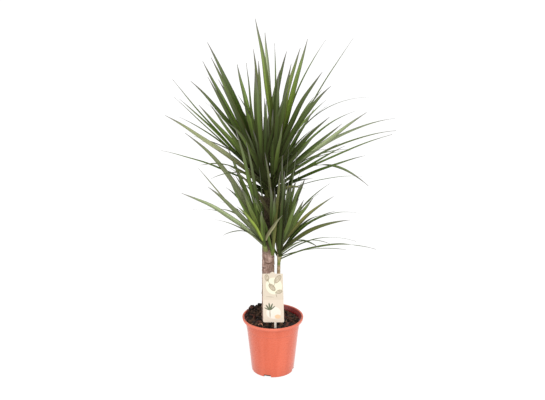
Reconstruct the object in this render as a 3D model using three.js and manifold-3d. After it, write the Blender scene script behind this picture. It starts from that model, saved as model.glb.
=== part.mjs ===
// Potted Madagascar dragon tree: a plastic nursery pot of moist potting mix, a thick cane that carries
// two heads at its top and a side shoot, a thin cane with a head of its own, and a care label on a stick.
// Millimetres, +Z up. The origin is the middle of the pot's flat underside, +X is right, -Y is the front.
import * as THREE from "three";
import { mergeVertices } from "three/addons/utils/BufferGeometryUtils.js";
import Module from "manifold-3d";

const wasm = await Module();
wasm.setup();

// Driving dimensions
const GAP = 0.3; // clearance between pieces that touch

const POT = {
  height: 162,
  baseRadius: 59,
  wallSlope: 0.104, // how far the wall leans out per millimetre of height
  wall: 1.4,
  floor: 2,
  cornerCut: 2.5,
  collarFrom: 128, // the wall steps out here, a little below the rim
  collarStep: 0.8,
  rimRadius: 85,
  rimDepth: 7.5,
  rimWidth: 5,
  sides: 40,
};
const DRAIN = { count: 4, width: 20, height: 8, firstAngle: -105 };
const SOIL = { top: 150, bottom: POT.floor + GAP, sides: 28, rings: 5, lump: 2.2 };
// The soil is heaped against the rim at the back left.
const MOUNDS = [
  { x: -58, y: 34, rise: 23, reach: 30 },
  { x: -34, y: 62, rise: 16, reach: 16 },
];

const TALL_CANE = {
  foot: [-14, 0, 34],
  head: [-11.5, 0, 512],
  radii: [17.6, 16.5],
  swell: 0.7,
  pitch: 26,
  sides: 14,
};
const SHORT_CANE = {
  foot: [13, 0, 46],
  head: [16.4, 0, 322],
  radii: [5, 4.7],
  swell: 0.35,
  pitch: 23,
  sides: 10,
};

const LABEL = {
  y: -60,
  bottom: 171,
  top: 315,
  left: -26, // at the bottom
  right: 31,
  leftTop: -28,
  rightTop: 27,
  corner: 4,
  tabX: -1,
  tabWidth: 15,
  tabRise: 5.5, // a small peak in the top edge
  thick: 0.8,
  stickX: 7,
  stickWidth: 6,
  stickFoot: 92,
};

// Blades are sword shaped: narrow at the stem, widest near the middle, with a long fine tip.
const BLADE = { width: 18, lowWidth: 12, thick: 0.8, tipWidth: 1.1, base: 0.45, widest: 0.5, bend: 0.55 };
const KIND_WIDTH = { full: 1, thin: 0.45, low: 0.85 }; // shares of a blade's width
const STATIONS = { straight: [0, 0.4, 0.72, 1], arched: [0, 0.28, 0.52, 0.78, 1] };
const ARCHED = 12; // rise of the arch from which a blade takes the finer stations
const LOW_ROOT = 0.85; // how far down its stem a low blade springs
const STEM_STATIONS = [0, 0.3, 1];
const CLEAR = 1.6; // least space between blades of different heads
const GOLDEN_ANGLE = 137.5;
const SEED = 20591;

// Each shoot is a green stem with its blades. The nearer a blade hangs to level, the lower is its root.
// full, thin, low: rows of blades that the front view shows, as tip right, back and up, rise of the arch,
// and the compass angle of the side of the stem that the blade springs from (0 is +X, 90 is the back).
// Full blades are broad, thin ones are old and half rolled up, low ones rise from the foot of the stem.
// grown: blades that fill the head by rule, in rounds from upright to low.
const SHOOTS = {
  left: {
    foot: [-14, 2, 512.3],
    head: [-35, 2, 602],
    radii: [7.5, 8, 7],
    full: [
      [-170, 30, 925, 10, 105],
      [-155, -60, 905, 4, -105],
      [-135, -110, 860, 6, -110],
      [-185, 80, 865, 0, 105],
      [-165, -60, 855, 0, -120],
      [-210, -40, 840, 14, -100],
      [-255, 130, 750, 8, 140],
      [-275, -60, 755, 6, -75],
      [-185, -130, 800, 2, -80],
      [-155, -160, 810, 0, -105],
      [-90, -70, 890, 2, -95],
      [-45, -100, 885, -10, -105],
      [-50, -30, 920, 12, -40],
      [-40, -160, 880, 4, -60],
      [-35, -100, 905, 2, -85],
      [-145, -170, 700, 4, -130],
      [-110, -60, 615, 4, -120],
      [-120, -100, 635, 4, -85],
      [-55, -40, 540, 8, 150],
      [-70, -60, 565, 6, 170],
    ],
    thin: [
      [-65, -100, 900, -8, -85],
      [-265, 60, 820, -5, 120],
      [-260, 30, 780, 2, 150],
      [-300, 40, 630, 12, 100],
    ],
    low: [
      [-50, -60, 715, 4, -100],
      [-10, -50, 765, 4, -60],
      [-70, -80, 725, 6, -120],
      [-20, -60, 800, 2, -90],
      [-25, 70, 715, 6, 80],
    ],
    grown: { count: 15, from: 0, lean: [24, 84], reach: [325, 300], middle: 110, spread: 170 },
  },
  right: {
    foot: [-2, -2, 512.3],
    head: [6, -4, 610],
    radii: [7.5, 8, 7],
    full: [
      [-45, 40, 985, 10, 95],
      [-20, 90, 940, -4, 90],
      [35, -60, 920, 24, -120],
      [15, -140, 885, 4, -60],
      [70, -40, 925, 10, -85],
      [90, 50, 930, 2, 80],
      [45, -110, 900, 6, -80],
      [125, -70, 870, 16, -90],
      [145, -100, 840, 18, -95],
      [100, -190, 805, 2, -75],
      [140, -150, 775, 8, -95],
      [225, 150, 710, 31, 34],
      [240, -50, 760, 2, -95],
      [170, -160, 760, 1, -90],
      [325, 40, 720, 33, 60],
      [165, -190, 720, 3, -90],
      [200, 120, 620, 6, 31],
      [105, -220, 750, 2, -80],
      [250, -60, 565, 69, -80],
      [250, 60, 610, 8, 60],
      [50, -75, 655, 24, -60],
      [105, -30, 575, 6, 30],
      [85, -40, 550, 10, 45],
      [45, -50, 530, 8, 75],
    ],
    thin: [
      [5, 70, 915, 24, 60],
      [140, 90, 920, 28, 45],
      [210, 60, 930, 10, 30],
      [265, 110, 760, 70, 23],
      [320, -30, 705, 30, -95],
      [305, -80, 710, 10, -105],
      [250, 140, 525, 16, 25],
    ],
    low: [
      [0, -60, 770, 4, -110],
      [25, -70, 735, 4, -80],
      [50, -100, 705, 6, -60],
      [-5, 60, 770, 6, 90],
      [80, -80, 610, 6, -50],
    ],
    grown: { count: 11, from: 330, lean: [24, 86], reach: [310, 280], middle: 80, spread: 160 },
  },
  side: {
    foot: [-19, -19, 364],
    head: [-28, -25, 408],
    radii: [6.5, 6.5, 5],
    full: [
      [-220, -120, 725, 27, -75],
      [-195, -60, 615, -2, -140],
      [-165, -130, 585, 7, -80],
      [-150, -140, 500, 12, -120],
      [-115, -110, 605, -1, -115],
      [-75, -150, 575, 2, -105],
      [-90, -180, 550, 10, -100],
      [-45, -100, 545, 2, -90],
      [25, -95, 495, 4, -75],
      [-30, -150, 525, 6, -90],
      [-240, -50, 540, 16, -80],
    ],
    thin: [
      [-50, -200, 565, 40, -80],
      [-220, 60, 455, 36, 110],
    ],
    low: [
      [-90, -190, 755, 4, -80],
      [-65, -170, 715, 4, -60],
      [-120, -40, 665, 6, -100],
      [-35, -60, 615, 6, -150],
    ],
    grown: { count: 7, from: 190, lean: [20, 66], reach: [260, 200], middle: 165, spread: 90 },
  },
  front: {
    foot: [-1, -13, 350],
    head: [2, -20, 390],
    radii: [5, 5.5, 4.5],
    full: [
      [-5, -100, 575, 4, -90],
      [5, -90, 545, 4, -70],
    ],
    thin: [],
    low: [
      [-55, -110, 560, 8, -110],
      [-85, -90, 565, 14, -100],
      [20, -110, 620, 4, -60],
    ],
  },
  short: {
    foot: [16.4, 0, 322.3],
    head: [26, -3, 412],
    radii: [4.6, 7.8, 5.5],
    full: [
      [80, -130, 550, 2, -80],
      [160, -60, 535, 11, -80],
      [205, -50, 465, 20, -100],
      [190, -150, 420, 12, -80],
      [145, -170, 445, 22, -80],
      [85, -30, 575, 2, -80],
      [60, -40, 570, 2, -90],
      [45, -80, 570, 2, -80],
      [75, -60, 575, 2, -70],
      [25, -100, 560, 2, -95],
      [0, -45, 510, 4, -100],
      [20, -35, 515, 2, -90],
      [65, -150, 560, 2, -70],
      [105, -90, 540, 4, -85],
      [-110, -140, 640, 26, -110],
      [40, -150, 610, 2, -30],
    ],
    thin: [
      [155, 60, 530, 22, 45],
      [240, 70, 440, 46, 60],
      [220, -90, 420, 29, -90],
      [275, -60, 385, 28, -105],
    ],
    low: [
      [-20, -60, 655, 2, -120],
      [60, -170, 690, 2, -30],
      [40, -130, 685, 2, -10],
      [25, -100, 660, 2, -50],
      [30, -140, 630, 2, -70],
      [15, -70, 585, 2, -90],
      [5, -50, 555, 2, -110],
    ],
    grown: { count: 11, from: 10, lean: [10, 84], reach: [270, 210], middle: 60, spread: 140 },
  },
};
const GROWING = ["side", "short", "left", "right"]; // shoots that the rule fills, in this order
// Nodes of foliage: shoots whose blades cross each other are one.
const FOLIAGE = {
  crown: ["left", "right"],
  side_shoots: ["side", "front"],
  short_shoot: ["short"],
};

const rad = THREE.MathUtils.degToRad;
const lerp = THREE.MathUtils.lerp;
const clamp = THREE.MathUtils.clamp;
const vec = (p) => new THREE.Vector3(...p);

let state = SEED;
function random() {
  state = (state * 1664525 + 1013904223) % 4294967296;
  return state / 4294967296;
}

// Solids

function solid(geometry) {
  const bare = geometry.clone();
  bare.deleteAttribute("normal");
  bare.deleteAttribute("uv");
  const merged = mergeVertices(bare, 1e-4);
  return new wasm.Manifold(
    new wasm.Mesh({
      numProp: 3,
      vertProperties: merged.attributes.position.array,
      triVerts: new Uint32Array(merged.index.array),
    }),
  );
}

function geometryOf(manifold) {
  const mesh = manifold.getMesh();
  const geometry = new THREE.BufferGeometry();
  geometry.setAttribute("position", new THREE.BufferAttribute(mesh.vertProperties, 3));
  geometry.setIndex(new THREE.BufferAttribute(mesh.triVerts, 1));
  geometry.computeVertexNormals();
  return geometry;
}

// One body: sealed pockets between crossing pieces are filled, and a loose scrap is dropped.
function oneBody(manifold) {
  const bodies = manifold.decompose();
  return bodies.reduce((most, body) => (body.volume() > most.volume() ? body : most));
}

// A closed skin over a row of rings, each with the same number of points, anticlockwise seen from the
// far end of the row.
function skin(rings) {
  const sides = rings[0].length;
  const index = [];
  for (let ring = 0; ring < rings.length - 1; ring++) {
    for (let side = 0; side < sides; side++) {
      const next = (side + 1) % sides;
      const a = ring * sides + side;
      const b = ring * sides + next;
      index.push(a, b, b + sides, a, b + sides, a + sides);
    }
  }
  const last = (rings.length - 1) * sides;
  for (let side = 1; side < sides - 1; side++) {
    index.push(0, side + 1, side, last, last + side, last + side + 1);
  }
  const corners = rings.flat().flatMap((point) => point.toArray());
  const geometry = new THREE.BufferGeometry();
  geometry.setAttribute("position", new THREE.Float32BufferAttribute(corners, 3));
  geometry.setIndex(index);
  return geometry;
}

// Pot

const wallRadius = (z) => POT.baseRadius + POT.wallSlope * z;
const innerRadius = (z) => wallRadius(z) - POT.wall;

function lathe(outline, sides) {
  const points = outline.map(([r, z]) => new THREE.Vector2(r, z));
  return new THREE.LatheGeometry(points, sides).rotateX(Math.PI / 2);
}

function potGeometry() {
  const { height, rimRadius, rimDepth, rimWidth, collarFrom, collarStep, cornerCut, floor } = POT;
  const neck = height - rimDepth - 4;
  const body = lathe(
    [
      [0, 0],
      [wallRadius(0) - cornerCut * 0.6, 0],
      [wallRadius(cornerCut), cornerCut],
      [wallRadius(collarFrom), collarFrom],
      [wallRadius(collarFrom) + collarStep, collarFrom + collarStep],
      [wallRadius(neck) + collarStep, neck],
      [rimRadius - 1.5, height - rimDepth - 0.8],
      [rimRadius, height - rimDepth + 0.6],
      [rimRadius, height - 1.2],
      [rimRadius - 1.2, height],
      [rimRadius - rimWidth + 1, height],
      [rimRadius - rimWidth, height - 1],
      [innerRadius(neck) + collarStep, neck - 0.5],
      [innerRadius(collarFrom) + collarStep, collarFrom + 1.5],
      [innerRadius(collarFrom), collarFrom - 1],
      [innerRadius(floor + 1.5), floor + 1.5],
      [innerRadius(floor) - 2, floor],
      [0, floor],
    ],
    POT.sides,
  );
  let pot = solid(body);
  for (let i = 0; i < DRAIN.count; i++) {
    const angle = DRAIN.firstAngle + (360 / DRAIN.count) * i;
    const slot = new THREE.BoxGeometry(20, DRAIN.width, DRAIN.height * 2);
    slot.translate(wallRadius(0) + 1, 0, 0);
    slot.rotateZ(rad(angle));
    pot = pot.subtract(solid(slot));
  }
  return geometryOf(pot);
}

// Canes: leaf scars swell the bark in rings

function caneRings(cane, extra) {
  const foot = vec(cane.foot);
  const head = vec(cane.head);
  const rings = [];
  const steps = Math.round((cane.head[2] - cane.foot[2]) / cane.pitch);
  for (let step = 0; step <= steps; step++) {
    const centre = foot.clone().lerp(head, step / steps);
    const radius = lerp(...cane.radii, step / steps) + extra + (step % 2 ? cane.swell : -cane.swell);
    rings.push(ringAt(centre, radius, cane.sides));
  }
  return rings;
}

function ringAt(centre, radius, sides) {
  return Array.from({ length: sides }, (_, side) => {
    const angle = (side / sides) * 2 * Math.PI;
    return centre.clone().add(new THREE.Vector3(radius * Math.cos(angle), radius * Math.sin(angle), 0));
  });
}

// Label: one die-cut plastic card with its stick

function labelGeometry(extra) {
  const { bottom, top, corner, tabX, tabWidth, tabRise, stickX, stickWidth, stickFoot } = LABEL;
  const left = LABEL.left - extra;
  const right = LABEL.right + extra;
  const stickRight = stickX + stickWidth / 2 + extra;
  const stickLeft = stickX - stickWidth / 2 - extra;
  const outline = new THREE.Shape();
  outline.moveTo(stickLeft, stickFoot + stickWidth);
  outline.lineTo(stickX, stickFoot - extra);
  outline.lineTo(stickRight, stickFoot + stickWidth);
  outline.lineTo(stickRight, bottom);
  outline.lineTo(right - corner, bottom);
  outline.quadraticCurveTo(right, bottom, right, bottom + corner);
  outline.lineTo(LABEL.rightTop + extra, top);
  outline.lineTo(tabX + tabWidth / 2, top);
  outline.quadraticCurveTo(tabX, top + 2 * tabRise, tabX - tabWidth / 2, top);
  outline.lineTo(LABEL.leftTop - extra, top);
  outline.lineTo(left, bottom + corner);
  outline.quadraticCurveTo(left, bottom, left + corner, bottom);
  outline.lineTo(stickLeft, bottom);
  const depth = LABEL.thick + 2 * extra;
  const card = new THREE.ExtrudeGeometry(outline, { depth, bevelEnabled: false, curveSegments: 5 });
  return card.rotateX(Math.PI / 2).translate(0, LABEL.y + depth / 2, 0);
}

// Soil: lumpy and heaped to one side, with plain holes for what stands in it

function soilHeight(x, y) {
  let height = SOIL.top - 3 * (Math.hypot(x, y) / 72) ** 2;
  for (const mound of MOUNDS) {
    height += mound.rise * Math.exp(-(((x - mound.x) ** 2 + (y - mound.y) ** 2) / mound.reach ** 2));
  }
  const lumps = Math.sin(x * 0.19 + 1.3) * Math.cos(y * 0.23 - 0.6) + 0.6 * Math.sin(x * 0.41 - y * 0.37);
  return height + SOIL.lump * lumps;
}

function soilGeometry(holes) {
  const { bottom, top, sides, rings } = SOIL;
  const soilRadius = (z) => innerRadius(z) - GAP - 0.2;
  const ring = (radius, height) =>
    Array.from({ length: sides }, (_, side) => {
      const angle = (side / sides) * 2 * Math.PI;
      const x = radius * Math.cos(angle);
      const y = radius * Math.sin(angle);
      return new THREE.Vector3(x, y, height ?? soilHeight(x, y));
    });
  const stack = [ring(soilRadius(bottom) - 3.5, bottom), ring(soilRadius(bottom + 4) - 0.4, bottom + 4)];
  stack.push(ring(soilRadius(POT.collarFrom - 3), POT.collarFrom - 3));
  const edge = soilRadius(top - 8);
  for (let i = rings; i > 0; i--) {
    stack.push(ring((edge * i) / rings));
  }
  stack.push(ring(1));
  return geometryOf(holes.reduce((soil, hole) => soil.subtract(hole), solid(skin(stack))));
}

// Blades

// A blade follows one curve from its root on the stem to its tip, arched upwards between them. The nearer
// it hangs to level, the narrower it is.
function makeBlade(shoot, tip, arch, side, twist, kind = "full") {
  const foot = vec(shoot.foot);
  const head = vec(shoot.head);
  let root = head;
  let hang = 0;
  for (let pass = 0; pass < 3; pass++) {
    const chord = tip.clone().sub(root);
    const lean = THREE.MathUtils.radToDeg(Math.acos(chord.z / chord.length()));
    hang = clamp((lean - 8) / 80, 0, 0.95);
    root = head.clone().lerp(foot, kind === "low" ? LOW_ROOT : hang);
  }
  const off = shoot.radii[2] - 1.5;
  root.add(new THREE.Vector3(off * Math.cos(rad(side)), off * Math.sin(rad(side)), 0));
  const chord = tip.clone().sub(root);
  const along = chord.clone().normalize();
  const lift = new THREE.Vector3(0, 0, 1).addScaledVector(along, -along.z).normalize();
  const middle = root.clone().addScaledVector(chord, BLADE.bend).addScaledVector(lift, 2 * arch);
  const width = lerp(BLADE.width, BLADE.lowWidth, hang) * KIND_WIDTH[kind];
  return { curve: new THREE.QuadraticBezierCurve3(root, middle, tip), arch, side, twist, width };
}

function bladeWidth(share, width) {
  const swell = BLADE.base + (1 - BLADE.base) * THREE.MathUtils.smoothstep(share, 0, BLADE.widest);
  return Math.max(BLADE.tipWidth, width * swell * (1 - share ** 2.3) ** 0.85);
}

// The blade lies square to its curve, level with the side of the stem that it springs from, and twists
// a little towards its tip.
function bladeAt(blade, share) {
  const tangent = blade.curve.getTangent(share);
  const level = new THREE.Vector3(-Math.sin(rad(blade.side)), Math.cos(rad(blade.side)), 0);
  const across = level.addScaledVector(tangent, -level.dot(tangent)).normalize();
  across.applyAxisAngle(tangent, rad(blade.twist) * share);
  return {
    centre: blade.curve.getPoint(share),
    across,
    face: tangent.clone().cross(across),
    half: bladeWidth(share, blade.width) / 2,
  };
}

function bladeSolid(blade) {
  const stations = blade.arch < ARCHED ? STATIONS.straight : STATIONS.arched;
  const rings = stations.map((share) => {
    const { centre, across, face, half } = bladeAt(blade, share);
    return [
      [-half, -1],
      [half, -1],
      [half, 1],
      [-half, 1],
    ].map(([side, up]) =>
      centre
        .clone()
        .addScaledVector(across, side)
        .addScaledVector(face, (up * BLADE.thick) / 2),
    );
  });
  return solid(skin(rings));
}

// Clearance between blades of different nodes, and from canes, stems and the label's card

const WAY_POINTS = 9;
function wayOf(blade) {
  return Array.from({ length: WAY_POINTS }, (_, i) => {
    const share = i / (WAY_POINTS - 1);
    return { point: blade.curve.getPoint(share), half: bladeWidth(share, blade.width) / 2 };
  });
}

// Least distance between two straight stretches, less the half widths at their nearest points.
function space(a0, a1, b0, b1) {
  const u = a1.point.clone().sub(a0.point);
  const v = b1.point.clone().sub(b0.point);
  const w = a0.point.clone().sub(b0.point);
  const uu = u.dot(u);
  const uv = u.dot(v);
  const vv = v.dot(v);
  const uw = u.dot(w);
  const vw = v.dot(w);
  const flat = uu * vv - uv * uv;
  let s = flat > 1e-9 ? clamp((uv * vw - vv * uw) / flat, 0, 1) : 0;
  const t = clamp((uv * s + vw) / vv, 0, 1);
  s = clamp((uv * t - uw) / uu, 0, 1);
  const apart = w.addScaledVector(u, s).addScaledVector(v, -t).length();
  return apart - lerp(a0.half, a1.half, s) - lerp(b0.half, b1.half, t);
}

function isClear(way, others) {
  for (const other of others) {
    for (let i = 0; i < way.length - 1; i++) {
      for (let j = 0; j < other.length - 1; j++) {
        if (space(way[i], way[i + 1], other[j], other[j + 1]) < CLEAR) return false;
      }
    }
  }
  return true;
}

const stretch = ({ foot, head, radii }) => [
  { point: vec(foot), half: Math.max(...radii) },
  { point: vec(head), half: Math.max(...radii) },
];
const nodeOf = (name) => Object.keys(FOLIAGE).find((node) => FOLIAGE[node].includes(name));

function obstaclesOf(name) {
  const others = Object.keys(SHOOTS).filter((other) => nodeOf(other) !== nodeOf(name));
  return [...others.map((other) => SHOOTS[other]), SHORT_CANE, TALL_CANE].map(stretch);
}

function seenBlades(shoot) {
  return ["full", "thin", "low"].flatMap((kind) =>
    shoot[kind].map(([right, back, up, arch, side]) =>
      makeBlade(shoot, new THREE.Vector3(right, back, up), arch, side, 20 * (random() - 0.5), kind),
    ),
  );
}

// Tries the blade's own place in the spiral first, then turns it round the stem and back until it is clear.
function grownBlade(shoot, turn, others) {
  const { count, from, lean, reach, middle, spread } = shoot.grown;
  const share = (turn + 0.5) / count;
  const bow = lerp(6, 26, share) + 8 * random();
  const slope = rad(lerp(lean[0], lean[1], share ** 0.8) + 8 * (random() - 0.5));
  const size = lerp(reach[0], reach[1], share) * (0.9 + 0.2 * random());
  const twist = 50 * (random() - 0.5);
  const spiral = ((from + GOLDEN_ANGLE * turn) % 360) / 360 - 0.5;
  const start = vec(shoot.foot).lerp(vec(shoot.head), 1 - 0.8 * share);
  for (let attempt = 0; attempt < 40; attempt++) {
    const swing = (attempt % 2 ? 1 : -1) * 5 * Math.ceil(attempt / 2);
    const side = middle + spread * spiral * 2 + swing;
    const long = size * (1 - 0.2 * Math.abs(Math.cos(rad(side))));
    const tip = start.clone();
    tip.x += long * Math.sin(slope) * Math.cos(rad(side));
    tip.y += long * Math.sin(slope) * Math.sin(rad(side));
    tip.z += long * Math.cos(slope);
    const blade = makeBlade(shoot, tip, bow, side, twist);
    if (isClear(wayOf(blade), others)) return blade;
  }
  return null;
}

function growBlades() {
  const blades = {};
  for (const [name, shoot] of Object.entries(SHOOTS)) {
    blades[name] = seenBlades(shoot);
  }
  for (const name of GROWING) {
    const shoot = SHOOTS[name];
    const others = obstaclesOf(name);
    for (const other of Object.keys(SHOOTS)) {
      if (nodeOf(other) !== nodeOf(name)) others.push(...blades[other].map(wayOf));
    }
    for (let turn = 0; turn < shoot.grown.count; turn++) {
      const blade = grownBlade(shoot, turn, others);
      if (blade) blades[name].push(blade);
    }
  }
  return blades;
}

function stemSolid(shoot) {
  const foot = vec(shoot.foot);
  const head = vec(shoot.head);
  const rings = STEM_STATIONS.map((share, i) => ringAt(foot.clone().lerp(head, share), shoot.radii[i], 10));
  return solid(skin(rings));
}

// The plant

const MATERIALS = {
  pot: { color: "#d9694f", roughness: 0.45 },
  soil: { color: "#2b211c", roughness: 1 },
  bark: { color: "#8c7263", roughness: 0.9 },
  youngBark: { color: "#8d7d55", roughness: 0.8 },
  leaf: { color: "#4a6b2c", roughness: 0.5 },
  label: { color: "#e9dcc6", roughness: 0.5 },
};

function piece(name, geometry, material) {
  const finish = new THREE.MeshStandardMaterial({ metalness: 0, ...MATERIALS[material] });
  const mesh = new THREE.Mesh(geometry, finish);
  mesh.name = name;
  return mesh;
}

const blades = growBlades();
const plant = new THREE.Group();

plant.add(piece("pot", potGeometry(), "pot"));
const holes = [
  solid(skin(caneRings(TALL_CANE, GAP))),
  solid(skin(caneRings(SHORT_CANE, GAP))),
  solid(labelGeometry(GAP)),
];
plant.add(piece("soil", soilGeometry(holes), "soil"));
plant.add(piece("tall_cane", skin(caneRings(TALL_CANE, 0)), "bark"));
plant.add(piece("short_cane", skin(caneRings(SHORT_CANE, 0)), "youngBark"));
plant.add(piece("care_label", labelGeometry(0), "label"));

for (const [node, names] of Object.entries(FOLIAGE)) {
  const solids = names.flatMap((name) => [stemSolid(SHOOTS[name]), ...blades[name].map(bladeSolid)]);
  const head = wasm.Manifold.union(solids).subtract(solid(skin(caneRings(TALL_CANE, GAP))));
  plant.add(piece(node, geometryOf(oneBody(head)), "leaf"));
}

export default plant;
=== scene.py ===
"""The looks of a potted Madagascar dragon tree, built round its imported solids.

Metres, +Z up, and -Y is the front. The pot, the soil, both canes, the leaves and the label are each made
again with their fine shape and their finish, in the place that their solid holds.
"""

import math
import random
from dataclasses import dataclass

import bmesh
import bpy
import numpy as np
from mathutils import Euler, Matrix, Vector
from mathutils.noise import fractal


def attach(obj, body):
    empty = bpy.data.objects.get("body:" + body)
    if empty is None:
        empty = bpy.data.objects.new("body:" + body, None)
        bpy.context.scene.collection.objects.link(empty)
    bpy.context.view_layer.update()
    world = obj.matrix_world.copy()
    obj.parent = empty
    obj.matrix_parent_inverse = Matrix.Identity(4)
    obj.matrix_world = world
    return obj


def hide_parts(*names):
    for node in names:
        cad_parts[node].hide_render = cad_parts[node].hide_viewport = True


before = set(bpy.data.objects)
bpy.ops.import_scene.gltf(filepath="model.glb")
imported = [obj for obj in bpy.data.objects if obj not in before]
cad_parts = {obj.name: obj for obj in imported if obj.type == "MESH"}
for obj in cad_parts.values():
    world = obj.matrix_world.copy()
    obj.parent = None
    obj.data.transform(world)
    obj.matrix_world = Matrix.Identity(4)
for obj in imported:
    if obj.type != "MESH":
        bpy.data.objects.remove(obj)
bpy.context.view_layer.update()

SEED = 20591
UP = np.array((0.0, 0.0, 1.0))
BODY = "root"
GOLDEN_ANGLE = 137.5

CAMERA = {"place": (-0.0008, -2.8, 1.49), "down": 19.4, "lens": 73.06}
# The lamp's direction, where its glow starts (1 is its middle, 0 is square to it), and both strengths.
LAMP = {"toward": (0.05, -0.72, 0.75), "from": 0.1, "surround": 0.42, "middle": 2.2}

POT = {
    "height": 0.162,
    "base_radius": 0.059,
    "wall_slope": 0.104,  # how far the wall leans out per metre of height
    "wall": 0.0014,
    "floor": 0.002,
    "collar_from": 0.128,  # the wall steps out here, a little below the rim
    "collar_step": 0.0008,
    "rim_radius": 0.085,
    "rim_depth": 0.0075,
    "rim_width": 0.005,
    "neck_slope": 0.56,  # how much more it leans out above its neck
    "sides": 176,
}
POT_LIP = POT["height"] - POT["rim_depth"]  # the rim's lower edge
POT_NECK = POT_LIP - 0.004  # from here the collar flares out to the rim
DRAIN = {"count": 4, "width": 0.02, "height": 0.008, "first_angle": -105, "cutter": (-0.009, 0.011)}
SOIL = {
    "top": 0.15,
    "bottom": 0.0023,
    "fall": 0.003,  # how much lower it lies at the pot's wall
    "reach": 0.072,
    "lump": 0.0022,
    "crumble": 0.0022,
    "crumble_scale": 160,
    "rings": 46,
    "sides": 150,
}
# The soil is heaped against the rim at the back left.
MOUNDS = (
    {"x": -0.058, "y": 0.034, "rise": 0.023, "reach": 0.03},
    {"x": -0.034, "y": 0.062, "rise": 0.016, "reach": 0.016},
)
# Crumbs lie within reach of the pot's axis, and by heap_reach farther out on the side of the heap.
CRUMBS = {
    "count": 1150,
    "least": 0.0014,
    "growth": 0.007,
    "reach": 0.0725,
    "heap_reach": 0.0075,
    "heap_side": math.radians(155),
}
CRUMB_TINTS = (
    (0.03, 0.024, 0.024),
    (0.06, 0.034, 0.022),
    (0.014, 0.01, 0.008),
    (0.08, 0.032, 0.024),
    (0.12, 0.068, 0.042),
)
CRUMB_SHARES = (6, 6, 6, 3, 1)  # how often each tint is drawn
# One pale flake of bark lies at the front left.
FLAKE = {
    "place": (-0.033, -0.04),
    "lift": 0.006,
    "half_size": (0.0085, 0.006, 0.0026),
    "turn": (0.35, 0.1, 0.3),
    "tint": (0.42, 0.2, 0.13),
}

BARK_SCALE = 110  # of the noise that roughens the canes
# A cane's leaf scars are pitch apart, reach half_width round it, sag at their ends, and have a fine groove
# below a swelling.
TALL_CANE = {
    "foot": (-0.014, 0.0, 0.034),
    "head": (-0.0115, 0.0, 0.512),
    "radii": (0.0176, 0.0165),
    "rows": 330,
    "sides": 84,
    "depth": 0.0008,
    "scar": {"pitch": 0.0052, "half_width": 0.72, "sag": 0.0034, "groove": 0.0017, "swelling": 0.0085},
}
SHORT_CANE = {
    "foot": (0.013, 0.0, 0.046),
    "head": (0.0164, 0.0, 0.322),
    "radii": (0.005, 0.0047),
    "rows": 260,
    "sides": 36,
    "depth": 0.0004,
    "scar": {"pitch": 0.0055, "half_width": 1.9, "sag": 0.0012, "groove": 0.0013, "swelling": 0.0055},
}

LABEL = {
    "y": -0.06,
    "bottom": 0.171,
    "top": 0.315,
    "left": -0.026,  # at the bottom
    "right": 0.031,
    "left_top": -0.028,
    "right_top": 0.027,
    "corner": 0.004,
    "tab_x": -0.001,
    "tab_width": 0.015,
    "tab_rise": 0.0055,  # a small peak in the top edge
    "thick": 0.0008,
    "stick_x": 0.007,
    "stick_width": 0.006,
    "stick_foot": 0.092,
}

# The label's plain print. Each oval has its centre across and up, its half width and height, and its turn.
PRINT = {
    "field_edge": 0.238,  # the upper field meets the lower one here
    "upper": (0.61, 0.525, 0.415),
    "lower": (0.66, 0.565, 0.46),
    "pale": (0.76, 0.69, 0.6),
    "cream": (0.76, 0.72, 0.55),
    "outline": (0.27, 0.22, 0.145),
    "taupe": (0.34, 0.28, 0.19),
    "fawn": (0.6, 0.52, 0.39),
    "green": (0.1, 0.115, 0.06),
    "spot": (0.74, 0.5, 0.3),
    "pale_oval": (0.002, 0.2, 0.021, 0.019, 0),
    "cream_oval": (0.003, 0.279, 0.023, 0.026, 12),
    "leaf_shapes": (
        (0.013, 0.299, 0.0075, 0.0145, -35),
        (-0.002, 0.275, 0.007, 0.0135, 38),
        (-0.016, 0.303, 0.006, 0.011, 10),
        (0.017, 0.262, 0.006, 0.0095, -70),
    ),
    "lines": (
        (0.0045, 0.285, 0.0007, 0.013, -20),
        (-0.01, 0.289, 0.0007, 0.012, 25),
        (0.009, 0.254, 0.0007, 0.01, 15),
        (-0.008, 0.247, 0.0006, 0.011, 85),
        (-0.0075, 0.196, 0.0011, 0.012, 2),
    ),
    "sprig": (
        (-0.0155, 0.211, 0.0018, 0.009, 62),
        (-0.0135, 0.2155, 0.0022, 0.0105, 34),
        (-0.009, 0.2185, 0.0023, 0.0115, 8),
        (-0.004, 0.2175, 0.0022, 0.011, -18),
        (-0.0005, 0.2135, 0.0019, 0.0095, -46),
    ),
    "spot_oval": (0.0135, 0.188, 0.0085, 0.0065, 0),
}

# Blades are sword shaped: narrow at the stem, widest near the middle, with a long fine tip.
BLADE = {"width": 0.018, "low_width": 0.012, "tip_width": 0.0011, "base": 0.45, "widest": 0.5, "bend": 0.55}
KIND_WIDTH = {"full": 1, "thin": 0.45, "low": 0.85}  # shares of a blade's width
SHEATH = 0.6  # share of a blade's width that clasps the stem
LOW_ROOT = 0.85  # how far down its stem a low blade springs
BLADE_ROWS = 27
BLADE_ACROSS = (-1.0, -0.72, -0.36, 0.0, 0.36, 0.72, 1.0)
BLADE_THICK = 0.0008
CLEAR = 0.0016  # least space between blades of different heads
WAY_POINTS = 9  # points on a blade between which its space is measured
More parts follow.
